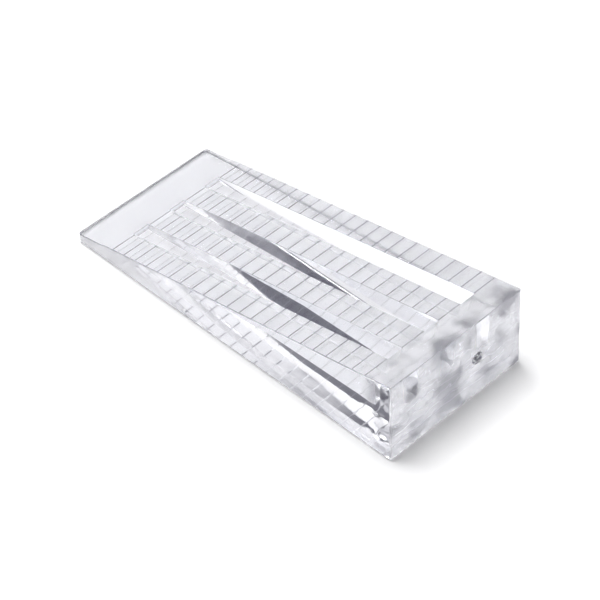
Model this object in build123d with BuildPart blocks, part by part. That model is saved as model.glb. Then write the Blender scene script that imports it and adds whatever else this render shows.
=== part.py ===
"""Clear levelling wedge: a one-piece moulded shim that is pushed under a leg or base.

The wedge lies on its flat base with the thin edge at -X and the thick end at +X.
The origin is the centre of the base. All sizes are in millimetres.
"""
import os
from math import atan, cos, radians, sin, tan

from build123d import *

# Outer wedge
LENGTH = 92.0
WIDTH = 38.0
THICK_END = 20.4
THIN_END = 2.3
SIDE_DRAFT = 0.5            # degrees, all four sides lean in towards the top
THIN_CORNER_R = 1.0         # upright corners at the thin edge
THICK_CORNER_R = 0.5        # upright corners at the thick end
BASE_EDGE_R = 0.5
TOP_EDGE_R = 0.25

# Smooth thumb grip along the thin edge, a little lower than the ramp behind it
GRIP_LENGTH = 7.8
GRIP_RISER = 1.1            # length of the slope from the grip up to the ramp
GRIP_STEP = 0.25
GRIP_BLEND_R = 1.5          # soft bends at the foot and the head of the slope

# Cross grooves that grip the floor, the load and a second wedge
GROOVE_COUNT = 22
GROOVE_PITCH = 3.5
FIRST_GROOVE = 11.45        # distance from the thin edge
RAMP_GROOVE_DEPTH = 0.2
RAMP_GROOVE_WIDTH = 0.22    # opening of the V
BASE_GROOVE_DEPTH = 0.1
BASE_GROOVE_WIDTH = 0.3

# Long cored slots, open on the ramp; distances are from the thin edge, heights from the base
SLOT_COUNT = 3
SLOT_WIDTH = 4.1            # at the ramp
SLOT_SPACING = 10.4
SLOT_START = 11.0
SLOT_START_FLOOR = 3.3
SLOT_BEND = 55.0            # the floor rises as far as here, and is nearly level after it
SLOT_BEND_FLOOR = 8.1
SLOT_END = 85.1
SLOT_END_FLOOR = 8.8
SLOT_DRAFT = 2.5            # degrees, the long walls lean apart towards the ramp
SLOT_CORNER_R = 0.5
SLOT_RIM_R = 0.12

# Mark left by the moulding gate on the thick end
GATE_Y = 6.0
GATE_Z = 10.3
GATE_RECESS_R = 1.4
GATE_RECESS_DEPTH = 0.5
GATE_STUB_R = 0.6
GATE_STUB_HEIGHT = 0.4

# Worked out from the sizes above
THIN_X = -LENGTH / 2
THICK_X = LENGTH / 2
RAMP_SLOPE = (THICK_END - THIN_END - GRIP_STEP) / LENGTH
RAMP_ANGLE = atan(RAMP_SLOPE)
CLEAR = 1.0                 # how far a cutting shape stands out of the wedge
CLEAR_TOP = THICK_END + CLEAR


def grip_height(x):
    """Height of the thumb grip above the base at x."""
    return THIN_END + RAMP_SLOPE * (x - THIN_X)


def ramp_height(x):
    """Height of the plain ramp above the base at x."""
    return grip_height(x) + GRIP_STEP


def groove_outline(x, z, along, normal, depth, width):
    """Corners of a V groove at (x, z), in a face with these unit directions.

    The outline is carried past the face by the groove's depth, so that it cuts cleanly.
    """
    corners = [(-width, depth), (0, -depth), (width, depth)]
    return [(x + a * along[0] + n * normal[0], z + a * along[1] + n * normal[1]) for a, n in corners]


def upright_edges(solid):
    """The nearly vertical edges of a solid."""
    return solid.edges().filter_by(lambda edge: abs((edge % 0.5).Z) > 0.9)


def upward_faces(solid):
    """The faces of a solid that look mostly up, smallest first."""
    return solid.faces().filter_by(lambda face: face.normal_at().Z > 0.9).sort_by(SortBy.AREA)


# One slot, as the solid that is taken away: a drafted bar that follows the ramp, cut to length and depth
draft_slope = tan(radians(SLOT_DRAFT))
half_top = SLOT_WIDTH / 2 + CLEAR * draft_slope
half_foot = SLOT_WIDTH / 2 - THICK_END * draft_slope
rim_z = ramp_height(THIN_X)
with BuildPart() as slot_tool:
    with BuildSketch(Plane.YZ.offset(THIN_X)):
        with BuildLine():
            Polyline(
                (-half_top, rim_z + CLEAR),
                (half_top, rim_z + CLEAR),
                (half_foot, rim_z - THICK_END),
                (-half_foot, rim_z - THICK_END),
                close=True,
            )
        make_face()
    extrude(amount=2 * LENGTH, dir=(1, 0, RAMP_SLOPE))
    with BuildSketch(Plane.XY):
        with Locations((THIN_X + (SLOT_START + SLOT_END) / 2, 0)):
            RectangleRounded(SLOT_END - SLOT_START, SLOT_WIDTH + CLEAR, SLOT_CORNER_R)
    extrude(amount=2 * CLEAR_TOP, both=True, mode=Mode.INTERSECT)
    with BuildSketch(Plane.XZ):
        with BuildLine():
            Polyline(
                (THIN_X + SLOT_START, SLOT_START_FLOOR),
                (THIN_X + SLOT_BEND, SLOT_BEND_FLOOR),
                (THIN_X + SLOT_END, SLOT_END_FLOOR),
                (THIN_X + SLOT_END, 2 * CLEAR_TOP),
                (THIN_X + SLOT_START, 2 * CLEAR_TOP),
                close=True,
            )
        make_face()
    extrude(amount=SLOT_WIDTH, both=True, mode=Mode.INTERSECT)

with BuildPart() as wedge_body:
    # Side profile of the wedge, then the draft of its four sides
    grip_x = THIN_X + GRIP_LENGTH
    riser_x = grip_x + GRIP_RISER
    with BuildSketch(Plane.XZ):
        with BuildLine():
            Polyline(
                (THIN_X, 0),
                (THICK_X, 0),
                (THICK_X, THICK_END),
                (riser_x, ramp_height(riser_x)),
                (grip_x, grip_height(grip_x)),
                (THIN_X, THIN_END),
                close=True,
            )
        make_face()
    extrude(amount=WIDTH / 2, both=True)
    with BuildSketch(Plane.XY):
        Rectangle(LENGTH, WIDTH)
    extrude(amount=CLEAR_TOP, taper=SIDE_DRAFT, mode=Mode.INTERSECT)

    # Upright corners, then the outlines of the base and the top
    fillet(upright_edges(wedge_body).group_by(Axis.X)[0], radius=THIN_CORNER_R)
    fillet(upright_edges(wedge_body).group_by(Axis.X)[-1], radius=THICK_CORNER_R)
    fillet(wedge_body.faces().sort_by(Axis.Z)[0].edges(), radius=BASE_EDGE_R)
    riser_edges = wedge_body.edges().filter_by(Axis.Y).filter_by_position(Axis.X, grip_x - 1, riser_x + 1)
    fillet(riser_edges.sort_by(Axis.Z)[-2:], radius=GRIP_BLEND_R)
    top_edges = ShapeList({edge for face in upward_faces(wedge_body) for edge in face.edges()})
    cross_edges = top_edges.filter_by(Axis.Y).filter_by_position(Axis.X, THIN_X + 2, THICK_X - 2)
    fillet(top_edges - cross_edges, radius=TOP_EDGE_R)

    # Slots, with their rims broken
    with GridLocations(0, SLOT_SPACING, 1, SLOT_COUNT):
        add(slot_tool.part, mode=Mode.SUBTRACT)
    for rim in upward_faces(wedge_body)[-1].inner_wires():
        fillet(rim.edges(), radius=SLOT_RIM_R)

    # Cross grooves, at the same places on the ramp and on the base
    along_ramp = (cos(RAMP_ANGLE), sin(RAMP_ANGLE))
    ramp_normal = (-sin(RAMP_ANGLE), cos(RAMP_ANGLE))
    with BuildSketch(Plane.XZ):
        for index in range(GROOVE_COUNT):
            x = THIN_X + FIRST_GROOVE + index * GROOVE_PITCH
            on_ramp = (x, ramp_height(x), along_ramp, ramp_normal, RAMP_GROOVE_DEPTH, RAMP_GROOVE_WIDTH)
            on_base = (x, 0, (1, 0), (0, -1), BASE_GROOVE_DEPTH, BASE_GROOVE_WIDTH)
            for groove in (on_ramp, on_base):
                with BuildLine():
                    Polyline(*groove_outline(*groove), close=True)
                make_face()
    extrude(amount=WIDTH, both=True, mode=Mode.SUBTRACT)

    # Gate mark: a round recess with the broken stub of the runner in it
    with BuildSketch(Plane.YZ.offset(THICK_X)):
        with Locations((GATE_Y, GATE_Z)):
            Circle(GATE_RECESS_R)
    extrude(amount=-GATE_RECESS_DEPTH, mode=Mode.SUBTRACT)
    with BuildSketch(Plane.YZ.offset(THICK_X - GATE_RECESS_DEPTH - GATE_STUB_HEIGHT)):
        with Locations((GATE_Y, GATE_Z)):
            Circle(GATE_STUB_R)
    extrude(amount=2 * GATE_STUB_HEIGHT)

wedge_body.part.label = "wedge_body"
os.makedirs("parts", exist_ok=True)
export_step(wedge_body.part, "parts/wedge_body.step")
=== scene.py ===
"""Looks of the clear levelling wedge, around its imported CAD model.

Blender's unit is the metre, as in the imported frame; sizes named _MM are in millimetres.
"""

import math

import bpy
from mathutils import Matrix, Vector


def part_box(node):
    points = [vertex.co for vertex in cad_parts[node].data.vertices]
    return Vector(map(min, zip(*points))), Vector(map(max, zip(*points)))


MM = 0.001

# Camera, placed by a turn around a point near the middle of the wedge
CAMERA_AZIMUTH = -43.751        # degrees from +X
CAMERA_ELEVATION = 44.35
CAMERA_ROLL = -1.958
CAMERA_DISTANCE_MM = 526.051
CAMERA_AIM_MM = (0.0, 0.0, 8.0)
CAMERA_PAN_MM = (1.674, -5.905)  # to the right and up, across the view
CAMERA_LENS_MM = 153.096
SENSOR_MM = 36.0
CAMERA_CLIP = (0.01, 20.0)      # nearest and farthest that it sees

# Clear plastic
PLASTIC_COLOR = (0.967, 0.97, 0.99, 1.0)
PLASTIC_IOR = 1.49
SLOT_ROUGHNESS = 0.04           # slot and groove walls, and all that no mask picks out
SIDE_ROUGHNESS = 0.02           # the long sides, from polished mould walls
RAMP_ROUGHNESS = 0.2            # satin ramp, thumb strip and slot floors
BASE_ROUGHNESS = 0.05
END_ROUGHNESS = 0.04
LEVEL_FACE = 0.9                # a normal with a larger part than this along an axis faces that way
EDGE_BAND_MM = 0.5              # how far in from the widest point the long sides reach
BASE_BAND_MM = 0.3              # how far up the base reaches

# Noise, with cells counted per metre
SOFT_DETAIL = 1.0               # octaves of finer noise inside the cells
FINE_DETAIL = 2.0

# Ripples in the surface
FLOW_CELLS = 90.0
FLOW_DEPTH_MM = 0.02
GATE_FLOW_CELLS = 130.0         # stronger ripples at the thick end, around the gate
GATE_FLOW_DEPTH_MM = 0.7
GATE_FLOW_REACH_MM = (11.0, 3.0)  # distances from the thick end where they start and are full
PEEL_CELLS = 900.0
PEEL_DEPTH_MM = 0.002

# Marks in the plastic, and painted shade
GROOVE_SHADE_SLOPE = (0.3, 0.75)      # upright part of a normal on ramp groove walls and some rounded edges, which get painted shade
GROOVE_SHADE_COLOR = (0.05, 0.05, 0.08, 1.0)  # painted shade in the grooves and along those edges, for dark lines and outlines
SHADE_PATCH_CELLS = 180.0             # painted dark patches at the thick end, standing in for darker surroundings seen in it
SHADE_PATCH_REACH = (0.45, 0.7)       # noise values where a patch starts and is full
PATCH_SHADE_COLOR = (0.25, 0.25, 0.28, 1.0)
GATE_PLACE_MM = (6.0, 10.3)     # across and up, on the thick end
GATE_SCAR_R_MM = 1.5            # where the gate was broken off
GATE_SCAR_ROUGHNESS = 0.5
GATE_SCAR_COLOR = (0.03, 0.03, 0.04, 1.0)
GATE_SPECKLE_CELLS = 1500.0     # dark speckles in the scar
GATE_SPECKLE_REACH = (0.36, 0.52)

# Studio
FLOOR_SIZE = 4.0
FLOOR_COLOR = (0.6, 0.6, 0.6, 1.0)
FLOOR_ROUGHNESS = 0.9
FLOOR_DROP_MM = 0.1             # keeps the floor clear of the base
FLOOR_GLOW_COLOR = (1.0, 1.0, 1.0, 1.0)
FLOOR_GLOW = 0.17               # strength of its own light, all over
KEY_POWER = 56.0                # watts
KEY_SIZE = 1.0
KEY_PLACE = (-0.5, -0.05, 1.9)  # it points at the origin
SKY_STOPS = [                   # degrees above the horizon, and grey
    (0.0, 0.8),
    (30.0, 0.85),
    (44.0, 0.95),
    (45.0, 0.0),
    (48.6, 0.0),
    (50.0, 0.75),
    (90.0, 0.75),
]
SKY_BLUE = 0.035                # added to the blue of every stop
FRONT = (0.7, -0.7, 0.1)        # toward the dark side of the studio
FRONT_REACH = (0.15, 0.55)      # dot products with it where the dark starts and is full
LIGHT_BOUNCES = 32


def new_material(name):
    """A node material with its Principled shader, both returned."""
    material = bpy.data.materials.new(name)
    material.use_nodes = True
    return material, material.node_tree.nodes["Principled BSDF"]


def noise(tree, coordinates, cells, detail):
    """A noise texture on the given coordinates, with so many cells per metre."""
    node = tree.nodes.new("ShaderNodeTexNoise")
    node.inputs["Scale"].default_value = cells
    node.inputs["Detail"].default_value = detail
    tree.links.new(coordinates, node.inputs["Vector"])
    return node.outputs["Fac"]


def ripple(tree, height, depth, below=None, mask=None):
    """A bump of the given depth in metres, laid over the one below it and scaled by a mask, where given."""
    node = tree.nodes.new("ShaderNodeBump")
    node.inputs["Distance"].default_value = depth
    tree.links.new(height, node.inputs["Height"])
    if below is not None:
        tree.links.new(below, node.inputs["Normal"])
    if mask is not None:
        tree.links.new(mask, node.inputs["Strength"])
    return node.outputs["Normal"]


def split(tree, vector):
    """The three parts of a vector, as sockets named by axis."""
    node = tree.nodes.new("ShaderNodeSeparateXYZ")
    tree.links.new(vector, node.inputs[0])
    return node.outputs


def math_node(tree, operation, value, other=0.0):
    """A Math node's result on a value and a number, or on two values."""
    node = tree.nodes.new("ShaderNodeMath")
    node.operation = operation
    tree.links.new(value, node.inputs[0])
    if isinstance(other, bpy.types.NodeSocket):
        tree.links.new(other, node.inputs[1])
    else:
        node.inputs[1].default_value = other
    return node.outputs[0]


def smooth_step(tree, value, start, end):
    """A mask that rises softly from 0 at the start value to 1 at the end value."""
    node = tree.nodes.new("ShaderNodeMapRange")
    node.interpolation_type = "SMOOTHSTEP"
    node.inputs["From Min"].default_value = start
    node.inputs["From Max"].default_value = end
    tree.links.new(value, node.inputs["Value"])
    return node.outputs["Result"]


def blend(tree, kind, mask, value, masked):
    """One value, a number, colour or socket, and another one where the mask is."""
    node = tree.nodes.new("ShaderNodeMix")
    node.data_type = kind
    sockets = [socket for socket in node.inputs if socket.enabled]
    tree.links.new(mask, sockets[0])
    for socket, part in zip(sockets[1:], (value, masked)):
        if isinstance(part, bpy.types.NodeSocket):
            tree.links.new(part, socket)
        else:
            socket.default_value = part
    return next(socket for socket in node.outputs if socket.enabled)


def surface_ripples(tree, place, near_gate):
    """The normal of the surface, with faint flow ripples, deeper ones near the gate, and a fine peel."""
    flow = ripple(tree, noise(tree, place, FLOW_CELLS, SOFT_DETAIL), FLOW_DEPTH_MM * MM)
    gate_noise = noise(tree, place, GATE_FLOW_CELLS, FINE_DETAIL)
    gate_flow = ripple(tree, gate_noise, GATE_FLOW_DEPTH_MM * MM, flow, near_gate)
    return ripple(tree, noise(tree, place, PEEL_CELLS, FINE_DETAIL), PEEL_DEPTH_MM * MM, gate_flow)


def gate_scar(tree, place, end_x):
    """A mask of the round spot on the thick end where the gate was broken off."""
    away = tree.nodes.new("ShaderNodeVectorMath")
    away.operation = "DISTANCE"
    away.inputs[1].default_value = (end_x, GATE_PLACE_MM[0] * MM, GATE_PLACE_MM[1] * MM)
    tree.links.new(place, away.inputs[0])
    return math_node(tree, "LESS_THAN", away.outputs["Value"], GATE_SCAR_R_MM * MM)


def face_roughness(tree, spot, slope, side_y, scar):
    """The finish of each face, told apart by place and slope, where a later mask covers an earlier one."""
    level = math_node(tree, "GREATER_THAN", math_node(tree, "ABSOLUTE", slope["Z"]), LEVEL_FACE)
    outer = math_node(tree, "GREATER_THAN", math_node(tree, "ABSOLUTE", spot["Y"]), side_y)
    end = math_node(tree, "GREATER_THAN", math_node(tree, "ABSOLUTE", slope["X"]), LEVEL_FACE)
    base = math_node(tree, "LESS_THAN", spot["Z"], BASE_BAND_MM * MM)
    finishes = (
        (level, RAMP_ROUGHNESS),
        (outer, SIDE_ROUGHNESS),
        (end, END_ROUGHNESS),
        (base, BASE_ROUGHNESS),
        (scar, GATE_SCAR_ROUGHNESS),
    )
    roughness = SLOT_ROUGHNESS
    for mask, finish in finishes:
        roughness = blend(tree, "FLOAT", mask, roughness, finish)
    return roughness


def marked_and_shaded_color(tree, place, slope, near_gate, scar):
    """The clear colour, with painted shade in the grooves and on some rounded edges, painted dark patches
    near the gate, and speckles in its scar.
    """
    # Painted shade darkens the groove walls and some rounded edges, which are picked out by their slope.
    tilt = math_node(tree, "ABSOLUTE", slope["Z"])
    steep = math_node(tree, "LESS_THAN", tilt, GROOVE_SHADE_SLOPE[1])
    groove_shade = math_node(tree, "MULTIPLY", math_node(tree, "GREATER_THAN", tilt, GROOVE_SHADE_SLOPE[0]), steep)
    # Painted dark patches near the gate stand in for darker surroundings seen through the thick end.
    shade_patches = smooth_step(tree, noise(tree, place, SHADE_PATCH_CELLS, SOFT_DETAIL), *SHADE_PATCH_REACH)
    speckles = smooth_step(tree, noise(tree, place, GATE_SPECKLE_CELLS, FINE_DETAIL), *GATE_SPECKLE_REACH)
    color = blend(tree, "RGBA", groove_shade, PLASTIC_COLOR, GROOVE_SHADE_COLOR)
    color = blend(tree, "RGBA", math_node(tree, "MULTIPLY", shade_patches, near_gate), color, PATCH_SHADE_COLOR)
    return blend(tree, "RGBA", math_node(tree, "MULTIPLY", speckles, scar), color, GATE_SCAR_COLOR)


def clear_plastic(side_y, end_x):
    """Water-clear moulded plastic, with its long sides beyond side_y and its thick end at end_x."""
    material, shader = new_material("clear_plastic")
    tree = material.node_tree
    shader.inputs["IOR"].default_value = PLASTIC_IOR
    shader.inputs["Transmission Weight"].default_value = 1.0

    place = tree.nodes.new("ShaderNodeTexCoord").outputs["Object"]
    spot = split(tree, place)
    slope = split(tree, tree.nodes.new("ShaderNodeNewGeometry").outputs["True Normal"])
    near_gate = smooth_step(tree, spot["X"], *(end_x - reach * MM for reach in GATE_FLOW_REACH_MM))
    scar = gate_scar(tree, place, end_x)
    tree.links.new(surface_ripples(tree, place, near_gate), shader.inputs["Normal"])
    tree.links.new(face_roughness(tree, spot, slope, side_y, scar), shader.inputs["Roughness"])
    tree.links.new(marked_and_shaded_color(tree, place, slope, near_gate, scar), shader.inputs["Base Color"])
    return material


def studio_floor():
    """A plain pale floor that glows a little."""
    material, shader = new_material("studio_floor")
    shader.inputs["Base Color"].default_value = FLOOR_COLOR
    shader.inputs["Roughness"].default_value = FLOOR_ROUGHNESS
    shader.inputs["Specular IOR Level"].default_value = 0.0
    shader.inputs["Emission Color"].default_value = FLOOR_GLOW_COLOR
    shader.inputs["Emission Strength"].default_value = FLOOR_GLOW
    half = FLOOR_SIZE / 2
    mesh = bpy.data.meshes.new("studio_floor")
    corners = [(-half, -half, 0), (half, -half, 0), (half, half, 0), (-half, half, 0)]
    mesh.from_pydata(corners, [], [(0, 1, 2, 3)])
    mesh.materials.append(material)
    floor = bpy.data.objects.new("studio_floor", mesh)
    floor.location.z = -FLOOR_DROP_MM * MM
    bpy.context.scene.collection.objects.link(floor)


def key_light():
    """One soft light overhead."""
    key_data = bpy.data.lights.new("key", "AREA")
    key_data.energy = KEY_POWER
    key_data.size = KEY_SIZE
    key = bpy.data.objects.new("key", key_data)
    key.location = KEY_PLACE
    key.rotation_euler = (-Vector(KEY_PLACE)).to_track_quat("-Z", "Y").to_euler()
    bpy.context.scene.collection.objects.link(key)


def surroundings():
    """A pale sky with a dark band, and with a dark front where the camera stands."""
    world = bpy.data.worlds.new("studio")
    world.use_nodes = True
    bpy.context.scene.world = world
    tree = world.node_tree
    direction = tree.nodes.new("ShaderNodeTexCoord").outputs["Generated"]
    height = split(tree, direction)["Z"]
    ramp = tree.nodes.new("ShaderNodeValToRGB")
    tree.links.new(height, ramp.inputs["Fac"])
    stops = ramp.color_ramp.elements    # two of them are there from the start
    for index, (degrees, grey) in enumerate(SKY_STOPS):
        position = math.sin(math.radians(degrees))    # a direction's height is the sine of its elevation
        stop = stops[index] if index < len(stops) else stops.new(position)
        stop.position = position
        stop.color = (grey, grey, grey + SKY_BLUE, 1.0)
    front = tree.nodes.new("ShaderNodeVectorMath")
    front.operation = "DOT_PRODUCT"
    front.inputs[1].default_value = FRONT
    tree.links.new(direction, front.inputs[0])
    shade = smooth_step(tree, front.outputs["Value"], *FRONT_REACH)
    sky = tree.nodes["Background"]
    tree.links.new(ramp.outputs["Color"], sky.inputs["Color"])
    tree.links.new(blend(tree, "FLOAT", shade, 1.0, 0.0), sky.inputs["Strength"])


def camera():
    """The camera, turned around its aim point."""
    azimuth = math.radians(CAMERA_AZIMUTH)
    elevation = math.radians(CAMERA_ELEVATION)
    roll = math.radians(CAMERA_ROLL)
    back = Vector((
        math.cos(elevation) * math.cos(azimuth),
        math.cos(elevation) * math.sin(azimuth),
        math.sin(elevation),
    ))
    level_right = (-back).cross(Vector((0, 0, 1))).normalized()
    level_up = level_right.cross(-back)
    right = math.cos(roll) * level_right + math.sin(roll) * level_up
    up = math.cos(roll) * level_up - math.sin(roll) * level_right
    aim = Vector(CAMERA_AIM_MM) + CAMERA_PAN_MM[0] * right + CAMERA_PAN_MM[1] * up
    place = Matrix((right, up, back)).transposed().to_4x4()
    place.translation = (aim + CAMERA_DISTANCE_MM * back) * MM

    data = bpy.data.cameras.new("camera")
    data.lens = CAMERA_LENS_MM
    data.sensor_width = SENSOR_MM
    data.clip_start, data.clip_end = CAMERA_CLIP
    eye = bpy.data.objects.new("camera", data)
    eye.matrix_world = place
    bpy.context.scene.collection.objects.link(eye)
    bpy.context.scene.camera = eye


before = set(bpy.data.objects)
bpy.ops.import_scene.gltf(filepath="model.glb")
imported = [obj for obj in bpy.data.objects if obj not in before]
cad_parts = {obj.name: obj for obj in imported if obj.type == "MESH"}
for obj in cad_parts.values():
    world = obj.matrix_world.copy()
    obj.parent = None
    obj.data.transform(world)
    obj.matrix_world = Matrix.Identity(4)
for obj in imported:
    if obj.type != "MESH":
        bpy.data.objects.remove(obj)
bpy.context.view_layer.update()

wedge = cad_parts["wedge_body"]
wedge.data.materials.clear()
wedge_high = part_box("wedge_body")[1]
wedge.data.materials.append(clear_plastic(wedge_high.y - EDGE_BAND_MM * MM, wedge_high.x))

studio_floor()
key_light()
surroundings()
camera()

scene = bpy.context.scene
scene.view_settings.view_transform = "Standard"
scene.cycles.max_bounces = LIGHT_BOUNCES
scene.cycles.transmission_bounces = LIGHT_BOUNCES
scene.cycles.glossy_bounces = LIGHT_BOUNCES
